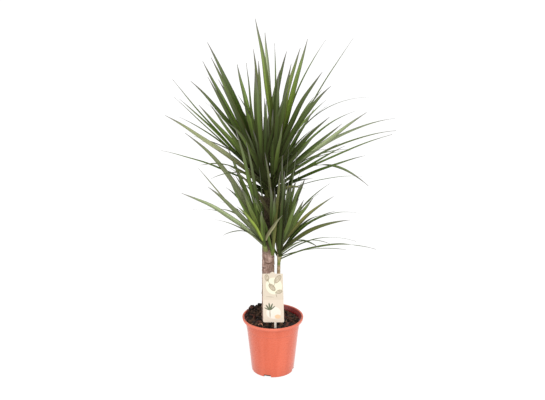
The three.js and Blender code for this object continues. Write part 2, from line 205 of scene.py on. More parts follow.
# How a blade's section and its light change from the stem on. A pair is the range of a draw, or the
# stretch of the blade over which a change is made.
FORM = {
    "ripple": 0.0007,
    "ripple_turns": (9, 16),
    "ripple_grows": (0.1, 0.4),
    "gutter": 0.5,  # steepness of the fold at the base, which wraps the stem
    "gutter_opens": (0.0, 0.14),
    "fold": (0.16, 0.3),
    "tip_fold": 0.35,  # share of the fold that is left at the tip
    # light: a blade's random lightness. light_grows: the stretch over which the painted shade near the stem
    # lifts.
    "light": (0.58, 1.32),
    "light_grows": (0.02, 0.62),
    "warmth": (0.9, 1.12),
    "sheath_ends": (0.04, 0.14),
}
# The bases of old leaves ring a stem in small steps, and a bud closes it.
STEM = {"sides": 28, "rows": 60, "rings": 14, "step": 0.05, "bud_from": 0.9, "bud_square": 0.0101}
STEM_STATIONS = (0, 0.3, 1)
# The crown's stems are darkened with painted shade of the blades round them.
CROWN_STEM = ((0.09, 0.075, 0.04), (0.06, 0.06, 0.018), (0.045, 0.06, 0.013))

# Each shoot is a green stem with its blades. The nearer a blade hangs to level, the lower is its root.
# full, thin, low: rows of blades that the front view shows, as tip right, back and up, rise of the arch,
# the compass angle of the side of the stem that the blade springs from (0 is +X, 90 is the back), and tone.
# Full blades are broad, thin ones are old and half rolled up, low ones rise from the foot of the stem.
# grown: blades that fill the head by rule, in rounds from upright to low.
# stem: its colour at its foot, its middle and its head. inside: how light the blades are near the stem, as
# painted shade.
SHOOTS = {
    "left": {
        "foot": (-0.014, 0.002, 0.5123),
        "head": (-0.035, 0.002, 0.602),
        "radii": (0.0075, 0.008, 0.007),
        "stem": CROWN_STEM,
        "inside": 0.12,
        "full": [
            (-0.17, 0.03, 0.925, 0.01, 105, "mid"),
            (-0.155, -0.06, 0.905, 0.004, -105, "mid"),
            (-0.135, -0.11, 0.86, 0.006, -110, "dark"),
            (-0.185, 0.08, 0.865, 0.0, 105, "mid"),
            (-0.165, -0.06, 0.855, 0.0, -120, "mid"),
            (-0.21, -0.04, 0.84, 0.014, -100, "dark"),
            (-0.255, 0.13, 0.75, 0.008, 140, "mid"),
            (-0.275, -0.06, 0.755, 0.006, -75, "pale"),
            (-0.185, -0.13, 0.8, 0.002, -80, "mid"),
            (-0.155, -0.16, 0.81, 0.0, -105, "mid"),
            (-0.09, -0.07, 0.89, 0.002, -95, "bright"),
            (-0.045, -0.1, 0.885, -0.01, -105, "mid"),
            (-0.05, -0.03, 0.92, 0.012, -40, "olive"),
            (-0.04, -0.16, 0.88, 0.004, -60, "mid"),
            (-0.035, -0.1, 0.905, 0.002, -85, "bright"),
            (-0.145, -0.17, 0.7, 0.004, -130, "olive"),
            (-0.11, -0.06, 0.615, 0.004, -120, "olive"),
            (-0.12, -0.1, 0.635, 0.004, -85, "olive"),
            (-0.055, -0.04, 0.54, 0.008, 150, "dark"),
            (-0.07, -0.06, 0.565, 0.006, 170, "dark"),
        ],
        "thin": [
            (-0.065, -0.1, 0.9, -0.008, -85, "mid"),
            (-0.265, 0.06, 0.82, -0.005, 120, "mid"),
            (-0.26, 0.03, 0.78, 0.002, 150, "mid"),
            (-0.3, 0.04, 0.63, 0.012, 100, "mid"),
        ],
        "low": [
            (-0.05, -0.06, 0.715, 0.004, -100, "dark"),
            (-0.01, -0.05, 0.765, 0.004, -60, "dark"),
            (-0.07, -0.08, 0.725, 0.006, -120, "dark"),
            (-0.02, -0.06, 0.8, 0.002, -90, "dark"),
            (-0.025, 0.07, 0.715, 0.006, 80, "dark"),
        ],
        "grown": {
            "count": 15,
            "from": 0,
            "lean": (24, 84),
            "reach": (0.325, 0.3),
            "middle": 110,
            "spread": 170,
        },
    },
    "right": {
        "foot": (-0.002, -0.002, 0.5123),
        "head": (0.006, -0.004, 0.61),
        "radii": (0.0075, 0.008, 0.007),
        "stem": CROWN_STEM,
        "inside": 0.12,
        "full": [
            (-0.045, 0.04, 0.985, 0.01, 95, "bright"),
            (-0.02, 0.09, 0.94, -0.004, 90, "pale"),
            (0.035, -0.06, 0.92, 0.024, -120, "dark"),
            (0.015, -0.14, 0.885, 0.004, -60, "dark"),
            (0.07, -0.04, 0.925, 0.01, -85, "bright"),
            (0.09, 0.05, 0.93, 0.002, 80, "lime"),
            (0.045, -0.11, 0.9, 0.006, -80, "mid"),
            (0.125, -0.07, 0.87, 0.016, -90, "dark"),
            (0.145, -0.1, 0.84, 0.018, -95, "dark"),
            (0.1, -0.19, 0.805, 0.002, -75, "dark"),
            (0.14, -0.15, 0.775, 0.008, -95, "dark"),
            (0.225, 0.15, 0.71, 0.031, 34, "mid"),
            (0.24, -0.05, 0.76, 0.002, -95, "pale"),
            (0.17, -0.16, 0.76, 0.001, -90, "mid"),
            (0.325, 0.04, 0.72, 0.033, 60, "pale"),
            (0.165, -0.19, 0.72, 0.003, -90, "mid"),
            (0.2, 0.12, 0.62, 0.006, 31, "mid"),
            (0.105, -0.22, 0.75, 0.002, -80, "dark"),
            (0.25, -0.06, 0.565, 0.069, -80, "mid"),
            (0.25, 0.06, 0.61, 0.008, 60, "mid"),
            (0.05, -0.075, 0.655, 0.024, -60, "bright"),
            (0.105, -0.03, 0.575, 0.006, 30, "dark"),
            (0.085, -0.04, 0.55, 0.01, 45, "olive"),
            (0.045, -0.05, 0.53, 0.008, 75, "dark"),
        ],
        "thin": [
            (0.005, 0.07, 0.915, 0.024, 60, "mid"),
            (0.14, 0.09, 0.92, 0.028, 45, "mid"),
            (0.21, 0.06, 0.93, 0.01, 30, "mid"),
            (0.265, 0.11, 0.76, 0.07, 23, "dark"),
            (0.32, -0.03, 0.705, 0.03, -95, "mid"),
            (0.305, -0.08, 0.71, 0.01, -105, "mid"),
            (0.25, 0.14, 0.525, 0.016, 25, "mid"),
        ],
        "low": [
            (0.0, -0.06, 0.77, 0.004, -110, "dark"),
            (0.025, -0.07, 0.735, 0.004, -80, "mid"),
            (0.05, -0.1, 0.705, 0.006, -60, "dark"),
            (-0.005, 0.06, 0.77, 0.006, 90, "dark"),
            (0.08, -0.08, 0.61, 0.006, -50, "dark"),
        ],
        "grown": {
            "count": 11,
            "from": 330,
            "lean": (24, 86),
            "reach": (0.31, 0.28),
            "middle": 80,
            "spread": 160,
        },
    },
    "side": {
        "foot": (-0.019, -0.019, 0.364),
        "head": (-0.028, -0.025, 0.408),
        "radii": (0.0065, 0.0065, 0.005),
        "stem": ((0.2, 0.17, 0.09), (0.18, 0.2, 0.07), (0.14, 0.19, 0.045)),
        "inside": 0.85,
        "full": [
            (-0.22, -0.12, 0.725, 0.027, -75, "pale"),
            (-0.195, -0.06, 0.615, -0.002, -140, "pale"),
            (-0.165, -0.13, 0.585, 0.007, -80, "pale"),
            (-0.15, -0.14, 0.5, 0.012, -120, "pale"),
            (-0.115, -0.11, 0.605, -0.001, -115, "bright"),
            (-0.075, -0.15, 0.575, 0.002, -105, "bright"),
            (-0.09, -0.18, 0.55, 0.01, -100, "lime"),
            (-0.045, -0.1, 0.545, 0.002, -90, "lime"),
            (0.025, -0.095, 0.495, 0.004, -75, "dry"),
            (-0.03, -0.15, 0.525, 0.006, -90, "mid"),
            (-0.24, -0.05, 0.54, 0.016, -80, "pale"),
        ],
        "thin": [
            (-0.05, -0.2, 0.565, 0.04, -80, "mid"),
            (-0.22, 0.06, 0.455, 0.036, 110, "mid"),
        ],
        "low": [
            (-0.09, -0.19, 0.755, 0.004, -80, "mid"),
            (-0.065, -0.17, 0.715, 0.004, -60, "dark"),
            (-0.12, -0.04, 0.665, 0.006, -100, "mid"),
            (-0.035, -0.06, 0.615, 0.006, -150, "dark"),
        ],
        "grown": {
            "count": 7,
            "from": 190,
            "lean": (20, 66),
            "reach": (0.26, 0.2),
            "middle": 165,
            "spread": 90,
        },
    },
    "front": {
        "foot": (-0.001, -0.013, 0.35),
        "head": (0.002, -0.02, 0.39),
        "radii": (0.005, 0.0055, 0.0045),
        "stem": ((0.13, 0.125, 0.045), (0.11, 0.14, 0.04), (0.1, 0.14, 0.03)),
        "inside": 0.85,
        "full": [
            (-0.005, -0.1, 0.575, 0.004, -90, "dark"),
            (0.005, -0.09, 0.545, 0.004, -70, "mid"),
        ],
        "thin": [],
        "low": [
            (-0.055, -0.11, 0.56, 0.008, -110, "mid"),
            (-0.085, -0.09, 0.565, 0.014, -100, "bright"),
            (0.02, -0.11, 0.62, 0.004, -60, "olive"),
        ],
    },
    "short": {
        "foot": (0.0164, 0.0, 0.3223),
        "head": (0.026, -0.003, 0.412),
        "radii": (0.0046, 0.0078, 0.0055),
        "stem": ((0.24, 0.235, 0.06), (0.56, 0.45, 0.34), (0.08, 0.1, 0.025)),
        "inside": 0.6,
        "full": [
            (0.08, -0.13, 0.55, 0.002, -80, "mid"),
            (0.16, -0.06, 0.535, 0.011, -80, "olive"),
            (0.205, -0.05, 0.465, 0.02, -100, "olive"),
            (0.19, -0.15, 0.42, 0.012, -80, "mid"),
            (0.145, -0.17, 0.445, 0.022, -80, "pale"),
            (0.085, -0.03, 0.575, 0.002, -80, "dark"),
            (0.06, -0.04, 0.57, 0.002, -90, "mid"),
            (0.045, -0.08, 0.57, 0.002, -80, "mid"),
            (0.075, -0.06, 0.575, 0.002, -70, "mid"),
            (0.025, -0.1, 0.56, 0.002, -95, "olive"),
            (0.0, -0.045, 0.51, 0.004, -100, "brown"),
            (0.02, -0.035, 0.515, 0.002, -90, "mid"),
            (0.065, -0.15, 0.56, 0.002, -70, "bright"),
            (0.105, -0.09, 0.54, 0.004, -85, "bright"),
            (-0.11, -0.14, 0.64, 0.026, -110, "brown"),
            (0.04, -0.15, 0.61, 0.002, -30, "dark"),
        ],
        "thin": [
            (0.155, 0.06, 0.53, 0.022, 45, "mid"),
            (0.24, 0.07, 0.44, 0.046, 60, "mid"),
            (0.22, -0.09, 0.42, 0.029, -90, "mid"),
            (0.275, -0.06, 0.385, 0.028, -105, "mid"),
        ],
        "low": [
            (-0.02, -0.06, 0.655, 0.002, -120, "withered"),
            (0.06, -0.17, 0.69, 0.002, -30, "dark"),
            (0.04, -0.13, 0.685, 0.002, -10, "dark"),
            (0.025, -0.1, 0.66, 0.002, -50, "dark"),
            (0.03, -0.14, 0.63, 0.002, -70, "dark"),
            (0.015, -0.07, 0.585, 0.002, -90, "mid"),
            (0.005, -0.05, 0.555, 0.002, -110, "dark"),
        ],
        "grown": {
            "count": 11,
            "from": 10,
            "lean": (10, 84),
            "reach": (0.27, 0.21),
            "middle": 60,
            "spread": 140,
        },
    },
}
GROWING = ("side", "short", "left", "right")  # shoots that the rule fills, in this order
# Nodes of foliage: shoots whose blades cross each other are one.
FOLIAGE = {
    "crown": ("left", "right"),
    "side_shoots": ("side", "front"),
    "short_shoot": ("short",),
}
# Tones: partly each blade's own colour and partly painted light and shade; blades that lie in shade are dark,
# lit ones bright.
TONES = {
    "dry": (0.3, 0.28, 0.17),
    "dark": (0.024, 0.046, 0.007),
    "mid": (0.078, 0.127, 0.022),
    "bright": (0.15, 0.215, 0.044),
    "lime": (0.175, 0.26, 0.04),
    "pale": (0.32, 0.355, 0.205),
    "olive": (0.15, 0.15, 0.045),
    "brown": (0.13, 0.105, 0.06),
    "withered": (0.15, 0.15, 0.05),
}
BLEACHED = (0.62, 0.5, 0.38)  # the sheath of a withered blade
GROWN_TONES = ("dark", "mid", "mid", "mid", "bright")


def compass(degrees):
    """The level direction at a compass angle: 0 is +X and 90 is the back."""
    angle = math.radians(degrees)
    return np.array((math.cos(angle), math.sin(angle), 0.0))


def lerp(start, end, share):
    return start + (end - start) * share


# Meshes


def stitch(rows):
    """Faces between neighbouring rings of vertex numbers. A ring of one vertex repeated is a point."""
    faces = []
    for low, high in zip(rows, rows[1:]):
        count = len(low)
        for i in range(count):
            j = (i + 1) % count
            faces.append(tuple(dict.fromkeys((low[i], low[j], high[j], high[i]))))
    return faces


def lathe(outline, sides):
    """Points and faces of an outline of (radius, height) turned about the pot's axis."""
    points = []
    rows = []
    for radius, height in outline:
        if radius == 0:
            rows.append([len(points)] * sides)
            points.append((0.0, 0.0, height))
            continue
        rows.append(list(range(len(points), len(points) + sides)))
        for side in range(sides):
            x, y, _ = radius * compass(360 * side / sides)
            points.append((x, y, height))
    return points, stitch(rows)


def rounded(corners, steps=6):
    """A line through (x, y, cut) corners: each corner is cut back by that length and bridged by a curve."""
    line = []
    for i, (x, y, cut) in enumerate(corners):
        here = Vector((x, y))
        if cut == 0:
            line.append(tuple(here))
            continue
        start = here + (Vector(corners[i - 1][:2]) - here).normalized() * cut
        end = here + (Vector(corners[(i + 1) % len(corners)][:2]) - here).normalized() * cut
        for step in range(steps + 1):
            share = step / steps
            line.append(tuple(start.lerp(here, share).lerp(here.lerp(end, share), share)))
    return line


def add_object(name, data):
    made = bpy.data.objects.new(name, data)
    bpy.context.scene.collection.objects.link(made)
    return made


def add_mesh(name, points, faces):
    mesh = bpy.data.meshes.new(name)
    mesh.from_pydata([tuple(point) for point in points], [], faces)
    return add_object(name, mesh)


def piece(name, points, faces, finish, replaced=(), crease=40):
    """A smooth shaded mesh object that rides on the plant's one body."""
    made = add_mesh(name, points, faces)
    made.data.shade_smooth()
    made.data.set_sharp_from_angle(angle=math.radians(crease))
    made.data.materials.append(finish)
    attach(made, BODY)
    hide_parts(*replaced)
    return made


def give(mesh, name, kind, values):
    """Stores one value for each point: kind is FLOAT, FLOAT_VECTOR or FLOAT_COLOR."""
    field = {"FLOAT": "value", "FLOAT_VECTOR": "vector", "FLOAT_COLOR": "color"}[kind]
    attribute = mesh.attributes.new(name, kind, "POINT")
    attribute.data.foreach_set(field, np.asarray(values, np.float32).ravel())


# Finishes


class Finish:
    """A material round one Principled shader. Most methods add nodes and give back an output."""

    def __init__(self, name, **sockets):
        self.material = bpy.data.materials.new(name)
        self.material.use_nodes = True
        self.tree = self.material.node_tree
        self.surface = self.tree.nodes["Principled BSDF"]
        for socket, value in sockets.items():
            self.surface.inputs[socket.replace("_", " ")].default_value = value

    def add(self, kind, output, inputs, **settings):
        node = self.tree.nodes.new("ShaderNode" + kind)
        for name, value in settings.items():
            setattr(node, name, value)
        for name, value in inputs.items():
            if isinstance(value, bpy.types.NodeSocket):
                self.tree.links.new(value, node.inputs[name])
            else:
                node.inputs[name].default_value = value
        return node.outputs[output]

    def attribute(self, name, output):
        return self.add("Attribute", output, {}, attribute_name=name)

    def position(self, scale=None):
        place = self.add("TexCoord", "Object", {})
        if scale is None:
            return place
        return self.add("VectorMath", "Vector", {0: place, 1: scale}, operation="MULTIPLY")

    def split(self, vector):
        x = self.add("SeparateXYZ", "X", {"Vector": vector})
        return x, x.node.outputs["Y"], x.node.outputs["Z"]

    def join(self, x, y, z):
        return self.add("CombineXYZ", "Vector", {"X": x, "Y": y, "Z": z})

    def math(self, operation, *values):
        return self.add("Math", "Value", dict(enumerate(values)), operation=operation)

    def length(self, across, up):
        """How far a point is from the middle of a plane."""
        squares = [self.math("MULTIPLY", part, part) for part in (across, up)]
        return self.math("SQRT", self.math("ADD", *squares))

    def fade(self, value, start, end, low=0.0, high=1.0):
        """Goes smoothly from low to high while value goes from start to end."""
        inputs = {"Value": value, "From Min": start, "From Max": end, "To Min": low, "To Max": high}
        return self.add("MapRange", "Result", inputs, interpolation_type="SMOOTHSTEP")

    def noise(self, vector, scale, detail, roughness=0.55):
        inputs = {"Vector": vector, "Scale": scale, "Detail": detail, "Roughness": roughness}
        return self.add("TexNoise", "Fac", inputs)

    def mix(self, share, first, second, blend="MIX"):
        """Blends two colours; share is a number or an output."""
        node = self.add("Mix", 2, {0: share}, data_type="RGBA", blend_type=blend).node
        for socket, value in ((6, first), (7, second)):
            if isinstance(value, bpy.types.NodeSocket):
                self.tree.links.new(value, node.inputs[socket])
            else:
                node.inputs[socket].default_value = (*value, 1.0)
        return node.outputs[2]

    def lay(self, colour, over, value, start, end, low=0.0, high=1.0):
        """Lays over on a colour, by a share that goes from low to high while value goes from start to end."""
        return self.mix(self.fade(value, start, end, low, high), colour, over)

    def shade(self, colour, low, high, value):
        """Multiplies a colour by a grey that goes from low to high as value goes from 0 to 1."""
        grey = self.add("MapRange", "Result", {"Value": value, "To Min": low, "To Max": high})
        return self.mix(1.0, colour, grey, "MULTIPLY")

    def bump(self, height, depth):
        normal = self.add("Bump", "Normal", {"Height": height, "Distance": depth, "Strength": 1.0})
        self.feed("Normal", normal)

    def feed(self, socket, value):
        self.tree.links.new(value, self.surface.inputs[socket])


# Pot


def wall_radius(z):
    return POT["base_radius"] + POT["wall_slope"] * z


def inner_radius(z):
    return wall_radius(z) - POT["wall"]


def pot_outline():
    """The pot's section from the middle of its underside, up its outside, over the rim and down inside."""
    height = POT["height"]
    rim = POT["rim_radius"]
    step = POT["collar_step"]
    ledge = POT["collar_from"]
    neck = POT_NECK
    mouth = rim - POT["rim_width"]
    corners = [
        (0, 0, 0),
        (wall_radius(0), 0, 0.003),
        (wall_radius(ledge), ledge, 0.0008),
        (wall_radius(ledge) + step, ledge + step, 0.0004),
        (wall_radius(neck) + step, neck, 0.002),
        (rim - 0.0009, POT_LIP - 0.0004, 0.0012),
        (rim, height - 0.001, 0.001),
        (rim - 0.0025, height, 0.0012),
        (mouth, height - 0.0006, 0.0012),
        (inner_radius(neck) + step, neck - 0.0005, 0.002),
        (inner_radius(ledge) + step, ledge + 0.0015, 0.0006),
        (inner_radius(ledge), ledge - 0.001, 0.0006),
        (inner_radius(POT["floor"]), POT["floor"], 0.0018),
        (0, POT["floor"], 0),
    ]
    return rounded(corners)


def drain_cutters():
    """Rounded blocks that cut the drainage openings through the bottom corner."""
    width = DRAIN["width"]
    height = DRAIN["height"]
    side_view = [
        (-width / 2, -height, 0),
        (width / 2, -height, 0),
        (width / 2, height, height * 0.35),
        (-width / 2, height, height * 0.35),
    ]
    outline = rounded(side_view)
    points = []
    faces = []
    for number in range(DRAIN["count"]):
        outward = compass(DRAIN["first_angle"] + number * 360 / DRAIN["count"])
        sideways = np.cross(UP, outward)
        rows = []
        for reach in DRAIN["cutter"]:
            rows.append(list(range(len(points), len(points) + len(outline))))
            out = wall_radius(0) + reach
            points += [outward * out + sideways * across + UP * up for across, up in outline]
        faces += stitch(rows)
        faces += [tuple(rows[0][::-1]), tuple(rows[1])]
    return add_mesh("drain_cutters", points, faces)


def bake_modifiers(made):
    """Puts the shape that the modifiers give into the mesh, and takes them away."""
    evaluated = made.evaluated_get(bpy.context.evaluated_depsgraph_get())
    mesh = bpy.data.meshes.new_from_object(evaluated)
    made.modifiers.clear()
    made.data = mesh


def build_pot():
    points, faces = lathe(pot_outline(), POT["sides"])
    made = piece("nursery_pot", points, faces, pot_finish(), ["pot"])
    cutters = drain_cutters()
    cut = made.modifiers.new("drainage", "BOOLEAN")
    cut.operation = "DIFFERENCE"
    cut.solver = "EXACT"
    cut.object = cutters
    bake_modifiers(made)
    bpy.data.objects.remove(cutters)


def pot_finish():
    """Salmon terracotta plastic with faint upright flow bands and fine scuffs, painted shade in dark lines
    below its lip and at its collar, a lip made paler by a painted highlight, a little darker towards its
    bottom, and a darker inside."""
    pot = Finish("pot_plastic", Sheen_Weight=0.25, Sheen_Roughness=0.35)
    x, y, z = pot.split(pot.position())
    bands = pot.noise(pot.join(x, y, pot.math("MULTIPLY", z, 0.04)), 42, detail=2)
    cloud = pot.noise(pot.position(), 9, detail=3)
    colour = pot.mix(pot.fade(bands, 0.3, 0.7), (0.59, 0.103, 0.045), (0.665, 0.13, 0.064))
    colour = pot.shade(colour, 0.92, 1.05, cloud)
    colour = pot.shade(colour, 0.9, 1.0, pot.fade(z, 0.0, 0.045))
    # Painted shade: dark lines below the lip and at the step of the collar.
    for height, reach, depth in ((POT_LIP - 0.003, 0.0034, 0.8), (POT["collar_from"], 0.0016, 0.4)):
        apart = pot.math("ABSOLUTE", pot.math("SUBTRACT", z, height))
        colour = pot.lay(colour, (0.43, 0.06, 0.024), apart, 0.0, reach, depth, 0.0)
    # Painted highlight: the lip and the rim above it are paler.
    colour = pot.lay(colour, (0.72, 0.2, 0.13), z, POT_LIP, POT_LIP + 0.003, 0.0, 0.35)
    # The outside is told from the inside by how far a point lies from the pot's axis at its height.
    wall = pot.math("SUBTRACT", pot.length(x, y), pot.math("MULTIPLY", z, POT["wall_slope"]))
    collar = pot.fade(z, POT["collar_from"] - 0.0005, POT["collar_from"] + 0.001, 0.0, POT["collar_step"])
    above_neck = pot.math("MAXIMUM", pot.math("SUBTRACT", z, POT_NECK), 0.0)
    flare = pot.math("MULTIPLY", above_neck, POT["neck_slope"])
    wall = pot.math("SUBTRACT", wall, pot.math("ADD", collar, flare))
    outside = pot.fade(wall, POT["base_radius"] - 0.001, POT["base_radius"] - 0.0004)
    lip = pot.fade(z, POT["height"] - 0.0016, POT["height"] - 0.0008)
    outer_or_rim_top = pot.math("MAXIMUM", outside, lip)
    # The inside is darker, with a mottle.
    inside_tone = pot.shade((0.22, 0.013, 0.01), 0.6, 1.3, pot.noise(pot.position(), 70, detail=5))
    pot.feed("Base Color", pot.mix(outer_or_rim_top, inside_tone, colour))
    scuffs = pot.noise(pot.position((1.0, 1.0, 5.0)), 220, detail=5)
    pot.feed("Roughness", pot.fade(scuffs, 0.3, 0.75, 0.22, 0.36))
    pot.bump(pot.math("ADD", pot.math("MULTIPLY", bands, 0.6), pot.math("MULTIPLY", scuffs, 0.1)), 0.0004)
    return pot.material


# Soil


def soil_height(x, y):
    """The same lumpy heap as the solid's, higher at the back left."""
    height = SOIL["top"] - SOIL["fall"] * (math.hypot(x, y) / SOIL["reach"]) ** 2
    for mound in MOUNDS:
        apart = math.hypot(x - mound["x"], y - mound["y"]) / mound["reach"]
        height += mound["rise"] * math.exp(-(apart**2))
    lumps = math.sin(x * 190 + 1.3) * math.cos(y * 230 - 0.6) + 0.6 * math.sin(x * 410 - y * 370)
    return height + SOIL["lump"] * lumps


def wall_height(radius):
    """How high the pot's inner face is at that radius, from its neck to its mouth."""
    neck_radius = inner_radius(POT_NECK)
    rise = (radius - neck_radius) / (POT["rim_radius"] - POT["rim_width"] - neck_radius)
    return lerp(POT_NECK, POT["height"], rise) if rise > 0 else 0


def build_soil():
    """Potting mix: the solid's mound with a crumbly surface, closed by a side and a bottom in the pot."""
    edge = inner_radius(SOIL["top"] - 0.008) - 0.0005
    outline = [
        (0, SOIL["bottom"]),
        (inner_radius(SOIL["bottom"]) - 0.003, SOIL["bottom"]),
        (inner_radius(POT["collar_from"]) - 0.0008, POT["collar_from"] - 0.003),
        (edge, SOIL["top"] - 0.006),
    ]
    outline += [(edge * ring / SOIL["rings"], SOIL["top"]) for ring in range(SOIL["rings"], -1, -1)]
    points, faces = lathe(outline, SOIL["sides"])
    for i, (x, y, z) in enumerate(points):
        if z == SOIL["top"]:
            crumble = fractal(Vector((x, y, 0)) * SOIL["crumble_scale"], 0.7, 2.0, 5)
            points[i] = (x, y, soil_height(x, y) + SOIL["crumble"] * crumble)
    made = piece("potting_mix", points, faces, soil_finish(), ["soil"], crease=180)
    give(made.data, "tint", "FLOAT_COLOR", [(0.024, 0.016, 0.011, 1.0)] * len(points))


def build_crumbs():
    """Loose lumps of peat and bark, and one pale flake of bark."""
    draw = random.Random(SEED)
    lump = bmesh.new()
    bmesh.ops.create_icosphere(lump, subdivisions=1, radius=1.0)
    shell = [vertex.co.copy() for vertex in lump.verts]
    shell_faces = [tuple(vertex.index for vertex in face.verts) for face in lump.faces]
    lump.free()
    points = []
    faces = []
    tints = []

    def add_lump(x, y, lift, spread, turn, tint):
        ground = max(soil_height(x, y), wall_height(math.hypot(x, y) + max(spread)))
        place = Vector((x, y, ground + lift))
        first = len(points)
        for corner in shell:
            rough = draw.uniform(0.72, 1.18)
            points.append(place + turn @ Vector(a * b * rough for a, b in zip(corner, spread)))
            tints.append((*tint, 1.0))
        faces.extend(tuple(first + i for i in face) for face in shell_faces)

    for _ in range(CRUMBS["count"]):
        angle = draw.uniform(0, math.tau)
        size = CRUMBS["least"] + CRUMBS["growth"] * draw.random() ** 2.4
        spread = Vector((draw.uniform(0.7, 1.5), draw.uniform(0.7, 1.1), draw.uniform(0.5, 0.9))) * size
        heaped = max(0, math.cos(angle - CRUMBS["heap_side"]))
        room = CRUMBS["reach"] + CRUMBS["heap_reach"] * heaped - max(spread)
        radius = room * math.sqrt(draw.random())
        turn = Euler([draw.uniform(0, math.tau) for _ in range(3)]).to_matrix()
        tint = draw.choices(CRUMB_TINTS, CRUMB_SHARES)[0]
        add_lump(radius * math.cos(angle), radius * math.sin(angle), 0.4 * size, spread, turn, tint)
    turn = Euler(FLAKE["turn"]).to_matrix()
    add_lump(*FLAKE["place"], FLAKE["lift"], FLAKE["half_size"], turn, FLAKE["tint"])
    made = piece("soil_crumbs", points, faces, soil_finish(), crease=35)
    give(made.data, "tint", "FLOAT_COLOR", tints)


def soil_finish():
    """Moist peat: near black brown with fine lighter fibres."""
    soil = Finish("moist_peat", Roughness=0.95, Specular_IOR_Level=0.15)
    tint = soil.attribute("tint", "Color")
    coarse = soil.noise(soil.position(), 260, detail=6, roughness=0.7)
    fibres = soil.noise(soil.position((1.0, 3.0, 2.0)), 700, detail=3)
    colour = soil.shade(tint, 0.45, 1.9, coarse)
    colour = soil.lay(colour, (0.09, 0.055, 0.034), fibres, 0.62, 0.72, 0.0, 0.5)
    soil.feed("Base Color", colour)
    soil.bump(coarse, 0.0012)
    return soil.material


# Canes


def cane_grid(cane):
    """Points, faces and scar strength of a cane. Its leaf scars are thin dark crescents, each below a low
    swelling, and they climb the cane in a spiral."""
    foot = np.array(cane["foot"])
    head = np.array(cane["head"])
    rows = cane["rows"]
    sides = cane["sides"]
    scar = cane["scar"]
    length = head[2] - foot[2]
    up = np.linspace(0, 1, rows)[:, None]
    around = np.linspace(0, math.tau, sides, endpoint=False)[None, :]
    height = np.repeat(up * length, sides, axis=1)
    groove = np.zeros_like(height)
    swelling = np.zeros_like(height)
    draw = random.Random(SEED + rows)
    for number in range(int(length / scar["pitch"])):
        centre = math.radians(number * GOLDEN_ANGLE) + draw.uniform(-0.2, 0.2)
        away = (around - centre + math.pi) % math.tau - math.pi
        reach = np.clip(1 - (away / scar["half_width"]) ** 2, 0, 1)
        above = height - (number + draw.uniform(-0.25, 0.25)) * scar["pitch"] + scar["sag"] * reach
        line = np.exp(-((above / scar["groove"]) ** 2)) * np.sqrt(reach)
        groove = np.maximum(groove, line * draw.uniform(0.55, 1.0))
        lens = np.clip(above / scar["swelling"], 0, 1)
        swelling = np.maximum(swelling, np.sin(math.pi * lens) * reach)
    relief = cane["depth"] * (swelling * 0.7 - groove)
    points = []
    for row in range(rows):
        centre = foot + (head - foot) * up[row, 0]
        radius = lerp(*cane["radii"], up[row, 0])
        for side in range(sides):
            out = compass(360 * side / sides)
            rough = fractal(Vector(centre + out * radius) * BARK_SCALE, 0.8, 2.0, 4)
            points.append(centre + out * (radius + relief[row, side] + 0.6 * cane["depth"] * rough))
    rings = [list(range(row * sides, (row + 1) * sides)) for row in range(rows)]
    faces = stitch(rings) + [tuple(rings[0][::-1]), tuple(rings[-1])]
    marks = np.stack((groove, swelling, np.broadcast_to(up, groove.shape)), -1).reshape(-1, 3)
    return points, faces, marks


def build_canes():
    for node, cane, finish, slot in (
        ("tall_cane", TALL_CANE, bark_finish(), "bark"),
        ("short_cane", SHORT_CANE, young_bark_finish(), "young_bark"),
    ):
        points, faces, marks = cane_grid(cane)
        made = piece(node + "_bark", points, faces, finish, [node])
        give(made.data, "marks", "FLOAT_VECTOR", marks)


def bark_finish():
    """Brown bark with pink grey streaks, light on the swellings and dark in the scars; its right side is
    a plainer, darker brown of painted shade. Among the leaves it is painted dark with their shade."""
    bark = Finish("cane_bark", Roughness=0.85, Specular_IOR_Level=0.2)
    groove, swelling, up = bark.split(bark.attribute("marks", "Vector"))
    cloud = bark.noise(bark.position(), 55, detail=5, roughness=0.65)
    streaks = bark.noise(bark.position((1.0, 1.0, 0.22)), 190, detail=3)
    grain = bark.noise(bark.position((1.0, 1.0, 0.3)), 620, detail=4)
    colour = bark.mix(bark.fade(cloud, 0.35, 0.65), (0.15, 0.09, 0.064), (0.32, 0.205, 0.165))
    colour = bark.lay(colour, (0.5, 0.35, 0.295), streaks, 0.45, 0.66, 0.0, 0.85)
    # Painted shade: the right side of the cane is a darker, plainer brown.
    x, _, _ = bark.split(bark.position())
    colour = bark.lay(colour, (0.215, 0.135, 0.085), x, -0.006, 0.001, 0.0, 0.6)
    colour = bark.mix(bark.math("MULTIPLY", swelling, 0.3), colour, (0.5, 0.35, 0.29))
    colour = bark.shade(colour, 0.65, 1.3, grain)
    colour = bark.lay(colour, (0.072, 0.032, 0.02), groove, 0.2, 0.75, 0.0, 0.9)
    # Painted shade: the cane is dark where it stands among the leaves.
    shadow = bark.shade((0.052, 0.044, 0.018), 0.5, 1.5, cloud)
    colour = bark.lay(colour, shadow, up, 0.64, 0.72, 0.0, 0.85)
    bark.feed("Base Color", colour)
    bark.bump(bark.math("ADD", cloud, bark.math("MULTIPLY", grain, 0.5)), 0.0006)
    return bark.material


